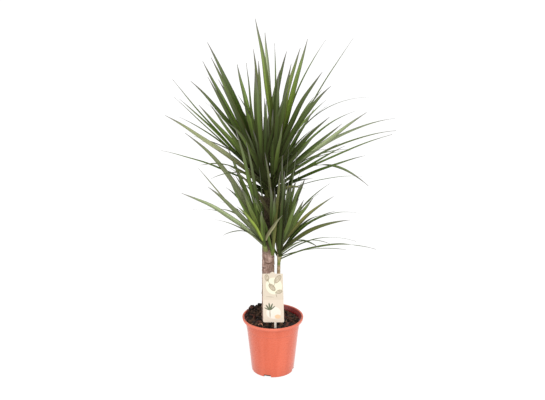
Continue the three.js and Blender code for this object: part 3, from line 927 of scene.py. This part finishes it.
def young_bark_finish():
    """Tan young bark ringed by leaf scars, green where the last leaves fell."""
    bark = Finish("young_cane_bark", Roughness=0.7, Specular_IOR_Level=0.3)
    groove, swelling, up = bark.split(bark.attribute("marks", "Vector"))
    cloud = bark.noise(bark.position(), 90, detail=4, roughness=0.6)
    colour = bark.mix(bark.fade(cloud, 0.35, 0.65), (0.3, 0.215, 0.115), (0.5, 0.375, 0.225))
    colour = bark.mix(bark.math("MULTIPLY", swelling, 0.35), colour, (0.56, 0.44, 0.28))
    colour = bark.lay(colour, (0.105, 0.06, 0.032), groove, 0.2, 0.7, 0.0, 0.85)
    green = bark.shade((0.16, 0.19, 0.045), 0.7, 1.3, cloud)
    colour = bark.lay(colour, green, up, 0.965, 0.99)
    bark.feed("Base Color", colour)
    bark.bump(cloud, 0.0004)
    return bark.material


# Blades: where they grow, by the same rule as their solids


class Draws:
    """The solids' own row of random numbers."""

    FACTOR = 1664525
    STEP = 1013904223
    RANGE = 2**32

    def __init__(self, seed):
        self.state = seed

    def next(self):
        self.state = (self.state * self.FACTOR + self.STEP) % self.RANGE
        return self.state / self.RANGE


def smooth(value, start, end):
    share = np.clip((value - start) / (end - start), 0, 1)
    return share * share * (3 - 2 * share)


def unit(vector):
    return vector / np.linalg.norm(vector, axis=-1, keepdims=True)


def blade_width(share, width, base=BLADE["base"]):
    swell = base + (1 - base) * smooth(share, 0, BLADE["widest"])
    return np.maximum(BLADE["tip_width"], width * swell * (1 - share**2.3) ** 0.85)


@dataclass
class Blade:
    """One curve from the root on the stem to the tip. The blade lies square to it, level with the side of
    the stem that it springs from, and twists a little towards its tip."""

    root: np.ndarray
    middle: np.ndarray
    tip: np.ndarray
    side: float
    twist: float
    width: float
    tone: str

    def point(self, share):
        t = np.asarray(share)[..., None]
        return (1 - t) ** 2 * self.root + 2 * t * (1 - t) * self.middle + t**2 * self.tip

    def tangent(self, share):
        t = np.asarray(share)[..., None]
        return unit((1 - t) * (self.middle - self.root) + t * (self.tip - self.middle))

    def across(self, share):
        along = self.tangent(share)
        level = np.cross(UP, compass(self.side))
        flat = unit(level - (along @ level)[..., None] * along)
        turn = (math.radians(self.twist) * np.asarray(share))[..., None]
        return flat * np.cos(turn) + np.cross(along, flat) * np.sin(turn)

    def way(self):
        """Straight stretches along the blade: their starts, ends, and half widths at both."""
        share = np.linspace(0, 1, WAY_POINTS)
        points = self.point(share)
        halves = blade_width(share, self.width) / 2
        return points[:-1], points[1:], halves[:-1], halves[1:]


def make_blade(shoot, tip, arch, side, twist, tone, kind="full"):
    """The lower a blade hangs, the nearer its root is to the stem's foot and the narrower it is."""
    foot = np.array(shoot["foot"])
    head = np.array(shoot["head"])
    root = head
    for _ in range(3):
        chord = tip - root
        lean = math.degrees(math.acos(chord[2] / np.linalg.norm(chord)))
        hang = min(max((lean - 8) / 80, 0), 0.95)
        root = lerp(head, foot, LOW_ROOT if kind == "low" else hang)
    root = root + (shoot["radii"][2] - 0.0015) * compass(side)
    along = unit(tip - root)
    lift = unit(UP - along * along[2])
    middle = root + BLADE["bend"] * (tip - root) + 2 * arch * lift
    width = lerp(BLADE["width"], BLADE["low_width"], hang) * KIND_WIDTH[kind]
    return Blade(root, middle, tip, side, twist, width, tone)


def stretch(stem):
    half = np.array([max(stem["radii"])])
    return np.array([stem["foot"]]), np.array([stem["head"]]), half, half


def node_of(name):
    return next(node for node, names in FOLIAGE.items() if name in names)


def obstacles_of(name):
    """The stems of other nodes and both canes, as straight stretches."""
    ways = []
    for other, shoot in SHOOTS.items():
        if node_of(other) != node_of(name):
            ways.append(stretch(shoot))
    return ways + [stretch(SHORT_CANE), stretch(TALL_CANE)]


def least_space(way, others):
    """Least distance between the stretches of a blade and those of others, less their half widths."""
    a0, a1, a_low, a_high = (part[:, None] for part in way)
    b0, b1, b_low, b_high = (part[None] for part in others)
    u = a1 - a0
    v = b1 - b0
    w = a0 - b0
    uu, uv, vv = (u * u).sum(-1), (u * v).sum(-1), (v * v).sum(-1)
    uw, vw = (u * w).sum(-1), (v * w).sum(-1)
    flat = uu * vv - uv * uv
    s = np.where(flat > 1e-15, np.clip((uv * vw - vv * uw) / np.maximum(flat, 1e-15), 0, 1), 0)
    t = np.clip((uv * s + vw) / vv, 0, 1)
    s = np.clip((uv * t - uw) / uu, 0, 1)
    apart = np.linalg.norm(w + u * s[..., None] - v * t[..., None], axis=-1)
    return (apart - lerp(a_low, a_high, s) - lerp(b_low, b_high, t)).min()


def grown_blade(shoot, turn, others, draws, tone):
    """Tries the blade's own place in the spiral, then turns it round the stem and back until it is clear."""
    rule = shoot["grown"]
    share = (turn + 0.5) / rule["count"]
    bow = lerp(0.006, 0.026, share) + 0.008 * draws.next()
    slope = math.radians(lerp(*rule["lean"], share**0.8) + 8 * (draws.next() - 0.5))
    size = lerp(*rule["reach"], share) * (0.9 + 0.2 * draws.next())
    twist = 50 * (draws.next() - 0.5)
    spiral = (rule["from"] + GOLDEN_ANGLE * turn) % 360 / 360 - 0.5
    start = lerp(np.array(shoot["foot"]), np.array(shoot["head"]), 1 - 0.8 * share)
    for attempt in range(40):
        swing = (1 if attempt % 2 else -1) * 5 * math.ceil(attempt / 2)
        side = rule["middle"] + rule["spread"] * spiral * 2 + swing
        level = compass(side)
        reach = size * (1 - 0.2 * abs(level[0]))
        tip = start + reach * (math.sin(slope) * level + math.cos(slope) * UP)
        blade = make_blade(shoot, tip, bow, side, twist, tone)
        if least_space(blade.way(), others) >= CLEAR:
            return blade
    return None


def grow_blades():
    draws = Draws(SEED)
    tones = random.Random(SEED)
    blades = {}
    for name, shoot in SHOOTS.items():
        blades[name] = []
        for kind in ("full", "thin", "low"):
            for *tip, arch, side, tone in shoot[kind]:
                twist = 20 * (draws.next() - 0.5)
                blades[name].append(make_blade(shoot, np.array(tip), arch, side, twist, tone, kind))
    for name in GROWING:
        ways = obstacles_of(name)
        for other in SHOOTS:
            if node_of(other) != node_of(name):
                ways += [blade.way() for blade in blades[other]]
        others = [np.concatenate(parts) for parts in zip(*ways)]
        for turn in range(SHOOTS[name]["grown"]["count"]):
            blade = grown_blade(SHOOTS[name], turn, others, draws, tones.choice(GROWN_TONES))
            if blade:
                blades[name].append(blade)
    return blades


# Blades: their fine shape


class Foliage:
    """Gathers blades and stems into one mesh. Each blade has its own strip of the piece's texture map."""

    STRIP_SHAPE = 12  # about how many times a strip is as long as it is high

    def __init__(self, strips):
        self.points = []
        self.places = []
        self.tints = []
        self.faces = []
        self.spots = []
        self.used = 0
        self.columns = max(1, round(math.sqrt(strips / self.STRIP_SHAPE)))
        self.rows = math.ceil(strips / self.columns)
        self.draw = random.Random(SEED)

    def add_rings(self, rings, places, tints):
        """A closed skin over rings of points, each with its places and its tint; both ends are capped."""
        sides = len(rings[0])
        last = len(rings) - 1
        first = len(self.points)
        first_spot = len(self.spots)
        for ring, ring_places, tint in zip(rings, places, tints):
            self.points += list(ring)
            self.places += list(ring_places)
            self.tints += [tint] * sides
        for row in range(last):
            for side in range(sides):
                cell = ((row, side), (row, side + 1), (row + 1, side + 1), (row + 1, side))
                self.faces.append(tuple(first + up * sides + round_it % sides for up, round_it in cell))
                self.spots += [(0.02 + 0.96 * up / last, round_it / sides) for up, round_it in cell]
        self.cap(first, sides, 0.01, -1)
        self.cap(first + last * sides, sides, 0.99, 1)
        self.close_strip(first_spot)

    def cap(self, first, sides, along, turn):
        """Closes an end of the skin; its spot in the map is a small disc at that end of the strip."""
        order = range(sides)[::turn]
        self.faces.append(tuple(first + side for side in order))
        for side in order:
            angle = side / sides * math.tau
            self.spots.append((along + 0.008 * math.cos(angle), 0.5 + 0.4 * math.sin(angle)))

    def close_strip(self, first_spot):
        """Moves the spots from that one on, given as shares of a strip, to the next free strip of the map."""
        column, row = divmod(self.used, self.rows)
        self.used += 1
        for i in range(first_spot, len(self.spots)):
            along, across = self.spots[i]
            u = (column + 0.01 + 0.98 * along) / self.columns
            v = (row + 0.08 + 0.84 * across) / self.rows
            self.spots[i] = (u, v)

    def add_blade(self, blade, inside):
        """A blade from its sheath to its tip. Near the stem, its tint is darkened to the share inside, as
        painted shade.
        """
        draw = self.draw
        share = np.linspace(0, 1, BLADE_ROWS) ** 1.1
        along = blade.tangent(share)
        across = blade.across(share)
        face = np.cross(along, across)
        half = blade_width(share, blade.width, SHEATH) / 2
        wave = np.sin(share * draw.uniform(*FORM["ripple_turns"]) + draw.uniform(0, 6))
        ripple = FORM["ripple"] * wave * smooth(share, *FORM["ripple_grows"])
        centre = blade.point(share) + across * ripple[:, None]
        fold = lerp(FORM["gutter"], draw.uniform(*FORM["fold"]), smooth(share, *FORM["gutter_opens"]))
        fold = fold * lerp(1, FORM["tip_fold"], share)
        # Round the section: u goes from edge (-1) to edge (1) on the lower face, and back on the upper one.
        round_it = [(u, -1) for u in BLADE_ACROSS] + [(u, 1) for u in reversed(BLADE_ACROSS[1:-1])]
        u, top = np.array(round_it).T
        under = np.where(abs(u) == 1, 0.5, (1 - top) / 2)
        wide = half[:, None]
        rise = wide * fold[:, None] * (0.6 * abs(u) + 0.4 * u * u)
        thick = top * BLADE_THICK / 2 * (1 - abs(u) ** 3) * lerp(1, 0.5, share)[:, None]
        rings = centre[:, None] + across[:, None] * (u * wide)[..., None]
        rings = rings + face[:, None] * (rise + thick)[..., None]
        places = np.stack(np.broadcast_arrays(u, share[:, None], under), -1)
        self.add_rings(rings, places, self.blade_tints(blade.tone, share, inside))

    def blade_tints(self, tone, share, inside):
        """A tint for each ring of a blade, with the blade's own random number as its alpha."""
        # Painted shade: a blade darkens towards the stem, down to the share inside.
        light = self.draw.uniform(*FORM["light"]) * lerp(inside, 1, smooth(share, *FORM["light_grows"]))
        warm = self.draw.uniform(*FORM["warmth"])
        number = self.draw.random()
        red, green, blue = TONES[tone]
        tints = np.outer(light, (red * warm, green, blue))
        if tone == "withered":
            tints = lerp(np.array(BLEACHED), tints, smooth(share, *FORM["sheath_ends"])[:, None])
        return [(*tint, number) for tint in tints]

    def add_stem(self, shoot):
        """A green stem ringed by the bases of old leaves, closed by a bud."""
        foot = np.array(shoot["foot"])
        head = np.array(shoot["head"])
        sides = STEM["sides"]
        level = np.array([compass(360 * side / sides) for side in range(sides)])
        rings = []
        tints = []
        for share in np.arange(STEM["rows"] + 1) / STEM["rows"]:
            radius = np.interp(share, STEM_STATIONS, shoot["radii"])
            radius *= 1 - STEM["step"] * (1 - share * STEM["rings"] % 1)
            bud = max(0, share - STEM["bud_from"]) ** 2 / STEM["bud_square"]
            radius *= math.sqrt(max(1 - bud, 0.002))
            rings.append(lerp(foot, head, share) + radius * level)
            tints.append((*(np.interp(share, STEM_STATIONS, band) for band in zip(*shoot["stem"])), 0.5))
        self.add_rings(rings, [[(0.0, 0.3, 0.2)] * sides] * len(rings), tints)


def build_foliage():
    blades = grow_blades()
    finish = leaf_finish()
    for node, names in FOLIAGE.items():
        foliage = Foliage(sum(len(blades[name]) + 1 for name in names))
        for name in names:
            foliage.add_stem(SHOOTS[name])
            for blade in blades[name]:
                foliage.add_blade(blade, SHOOTS[name]["inside"])
        made = piece(node + "_leaves", foliage.points, foliage.faces, finish, [node])
        give(made.data, "place", "FLOAT_VECTOR", foliage.places)
        give(made.data, "tint", "FLOAT_COLOR", foliage.tints)
        texture_map = made.data.uv_layers.new(name="OFBake")
        texture_map.uv.foreach_set("vector", np.array(foliage.spots, np.float32).ravel())


def leaf_finish():
    """Dark green with fine parallel veins, a thin purple brown margin, a light midrib, a paler underside,
    and a tip that goes grey purple. One half of a blade has painted light and the other painted shade, and
    its outer part a painted grey sheen."""
    leaf = Finish("leaf_blade", Roughness=0.45, Specular_IOR_Level=0.02)
    across, along, under = leaf.split(leaf.attribute("place", "Vector"))
    tint = leaf.attribute("tint", "Color")
    number = leaf.attribute("tint", "Alpha")
    edge = leaf.math("ABSOLUTE", across)
    far = leaf.math("MULTIPLY", number, 90.0)
    lane = leaf.join(leaf.math("MULTIPLY", across, 9.0), leaf.math("MULTIPLY", along, 5.0), far)
    veins = leaf.noise(lane, 1.6, detail=4)
    cloud = leaf.noise(leaf.join(across, leaf.math("MULTIPLY", along, 14.0), far), 0.5, detail=3)
    colour = leaf.shade(tint, 0.68, 1.32, veins)
    colour = leaf.shade(colour, 0.7, 1.3, cloud)
    # Painted light and shade: one half of each blade is lighter and the other darker.
    painted_half_light = leaf.math("MULTIPLY", leaf.fade(across, -0.1, 0.1, -1.0, 1.0), leaf.math("SUBTRACT", number, 0.5))
    colour = leaf.shade(colour, 0.5, 1.5, leaf.math("ADD", painted_half_light, 0.5))
    # Painted reflection: the outer part of a blade is greyed as by a sheen.
    colour = leaf.lay(colour, (0.205, 0.235, 0.145), along, 0.45, 0.9, 0.0, 0.5)
    colour = leaf.lay(colour, (0.17, 0.23, 0.05), edge, 0.02, 0.12, 0.22, 0.0)
    colour = leaf.lay(colour, (0.13, 0.16, 0.055), under, 0.4, 0.6, 0.0, 0.3)
    colour = leaf.lay(colour, (0.05, 0.024, 0.018), edge, 0.78, 0.96, 0.0, 0.85)
    colour = leaf.lay(colour, (0.165, 0.145, 0.145), along, 0.78, 1.0, 0.0, 0.8)
    leaf.feed("Base Color", colour)
    leaf.feed("Roughness", leaf.fade(veins, 0.3, 0.7, 0.4, 0.52))
    leaf.bump(veins, 0.00025)
    return leaf.material


# Label


def label_outline():
    """The die-cut card and its stick, as (x, z) anticlockwise from the stick's point."""
    left = LABEL["left"]
    bottom = LABEL["bottom"]
    top = LABEL["top"]
    corner = LABEL["corner"]
    stick = LABEL["stick_x"]
    half = LABEL["stick_width"] / 2
    shoulder = LABEL["stick_foot"] + LABEL["stick_width"]
    tab_right = LABEL["tab_x"] + LABEL["tab_width"] / 2
    tab_left = tab_right - LABEL["tab_width"]
    tab_steps = 14
    corners = [
        (stick, LABEL["stick_foot"], 0.001),
        (stick + half, shoulder, 0.0012),
        (stick + half, bottom, 0.001),
        (LABEL["right"], bottom, corner),
        (LABEL["right_top"], top, 0.0),
    ]
    for step in range(tab_steps + 1):
        share = step / tab_steps
        rise = 4 * LABEL["tab_rise"] * share * (1 - share)
        corners.append((lerp(tab_right, tab_left, share), top + rise, 0.0))
    corners += [
        (LABEL["left_top"], top, 0.0),
        (left, bottom, corner),
        (stick - half, bottom, 0.001),
        (stick - half, shoulder, 0.0012),
    ]
    return rounded(corners)


def build_label():
    outline = label_outline()
    count = len(outline)
    front = LABEL["y"] - LABEL["thick"] / 2
    back = LABEL["y"] + LABEL["thick"] / 2
    points = [(x, front, z) for x, z in outline] + [(x, back, z) for x, z in outline]
    faces = stitch([list(range(count, 2 * count)), list(range(count))])
    faces += [tuple(range(count)), tuple(range(count, 2 * count))[::-1]]
    piece("label_card", points, faces, label_finish(), ["care_label"])


def label_finish():
    """Satin card with a plain print of its own: a cream field with taupe leaf shapes over a warm beige one,
    a small sprig and a pale orange spot. The stick and the back are bare."""
    card = Finish("label_card", Roughness=0.42)
    x, y, z = card.split(card.position())

    def oval(centre_x, centre_z, width, height, turn):
        """1 inside a tilted oval and 0 outside it."""
        dx = card.math("SUBTRACT", x, centre_x)
        dz = card.math("SUBTRACT", z, centre_z)
        cos = math.cos(math.radians(turn))
        sin = math.sin(math.radians(turn))
        along = card.math("ADD", card.math("MULTIPLY", dx, cos), card.math("MULTIPLY", dz, sin))
        over = card.math("SUBTRACT", card.math("MULTIPLY", dz, cos), card.math("MULTIPLY", dx, sin))
        apart = card.length(card.math("DIVIDE", along, width), card.math("DIVIDE", over, height))
        return card.fade(apart, 1.0, 0.9)

    paper = card.noise(card.position(), 900, detail=3)
    edge = PRINT["field_edge"]
    colour = card.lay(PRINT["lower"], PRINT["upper"], z, edge - 0.002, edge + 0.002)
    colour = card.mix(oval(*PRINT["pale_oval"]), colour, PRINT["pale"])
    colour = card.mix(oval(*PRINT["cream_oval"]), colour, PRINT["cream"])
    grain = card.noise(card.position((4.0, 1.0, 1.0)), 220, detail=2)
    taupe = card.lay(PRINT["taupe"], PRINT["fawn"], grain, 0.35, 0.65)
    for across, up, width, height, turn in PRINT["leaf_shapes"]:
        colour = card.mix(oval(across, up, width, height, turn), colour, PRINT["outline"])
        colour = card.mix(oval(across, up, width - 0.0012, height - 0.0014, turn), colour, taupe)
    for line in PRINT["lines"]:
        colour = card.mix(oval(*line), colour, PRINT["outline"])
    for leaflet in PRINT["sprig"]:
        colour = card.mix(oval(*leaflet), colour, PRINT["green"])
    colour = card.mix(oval(*PRINT["spot_oval"]), colour, PRINT["spot"])
    front = card.fade(y, LABEL["y"] - LABEL["thick"] * 0.3, LABEL["y"] - LABEL["thick"] * 0.45)
    printed = card.math("MULTIPLY", front, card.fade(z, LABEL["bottom"] - 0.0005, LABEL["bottom"] + 0.0005))
    colour = card.mix(printed, (0.66, 0.62, 0.54), colour)
    card.feed("Base Color", card.shade(colour, 0.94, 1.05, paper))
    card.bump(paper, 0.0001)
    return card.material


# Studio


def floor_finish():
    """A white light table with a barely visible mottle: it glows, so that shadows on it stay faint."""
    paper = Finish("studio_paper", Roughness=0.9, Specular_IOR_Level=0.1)
    paper.surface.inputs["Emission Color"].default_value = (1.0, 1.0, 1.0, 1.0)
    paper.surface.inputs["Emission Strength"].default_value = 0.88
    mottle = paper.noise(paper.position(), 3, detail=3)
    paper.feed("Base Color", paper.mix(mottle, (0.145, 0.145, 0.145), (0.155, 0.155, 0.155)))
    return paper.material


def build_floor():
    half = 20.0
    points = [(-half, -half, 0), (half, -half, 0), (half, half, 0), (-half, half, 0)]
    floor = add_mesh("studio_floor", points, [(0, 1, 2, 3)])
    floor.data.materials.append(floor_finish())


def studio_light():
    """An even white surround that grows brighter towards a wide lamp above and before the plant."""
    world = bpy.data.worlds.new("studio")
    world.use_nodes = True
    nodes = world.node_tree.nodes
    links = world.node_tree.links
    direction = nodes.new("ShaderNodeTexCoord").outputs["Generated"]
    toward = nodes.new("ShaderNodeVectorMath")
    toward.operation = "DOT_PRODUCT"
    toward.inputs[1].default_value = Vector(LAMP["toward"]).normalized()
    links.new(direction, toward.inputs[0])
    strength = nodes.new("ShaderNodeMapRange")
    strength.interpolation_type = "SMOOTHSTEP"
    strength.inputs["From Min"].default_value = LAMP["from"]
    strength.inputs["From Max"].default_value = 1.0
    strength.inputs["To Min"].default_value = LAMP["surround"]
    strength.inputs["To Max"].default_value = LAMP["middle"]
    links.new(toward.outputs["Value"], strength.inputs["Value"])
    links.new(strength.outputs["Result"], nodes["Background"].inputs["Strength"])
    nodes["Background"].inputs["Color"].default_value = (1.0, 1.0, 1.0, 1.0)
    return world


def build_studio():
    scene = bpy.context.scene
    camera = add_object("camera", bpy.data.cameras.new("camera"))
    camera.location = CAMERA["place"]
    camera.rotation_euler = (math.radians(90 - CAMERA["down"]), 0, 0)
    camera.data.lens = CAMERA["lens"]
    scene.camera = camera
    scene.world = studio_light()
    scene.view_settings.view_transform = "Standard"
    build_floor()


build_studio()
build_pot()
build_soil()
build_crumbs()
build_canes()
build_foliage()
build_label()
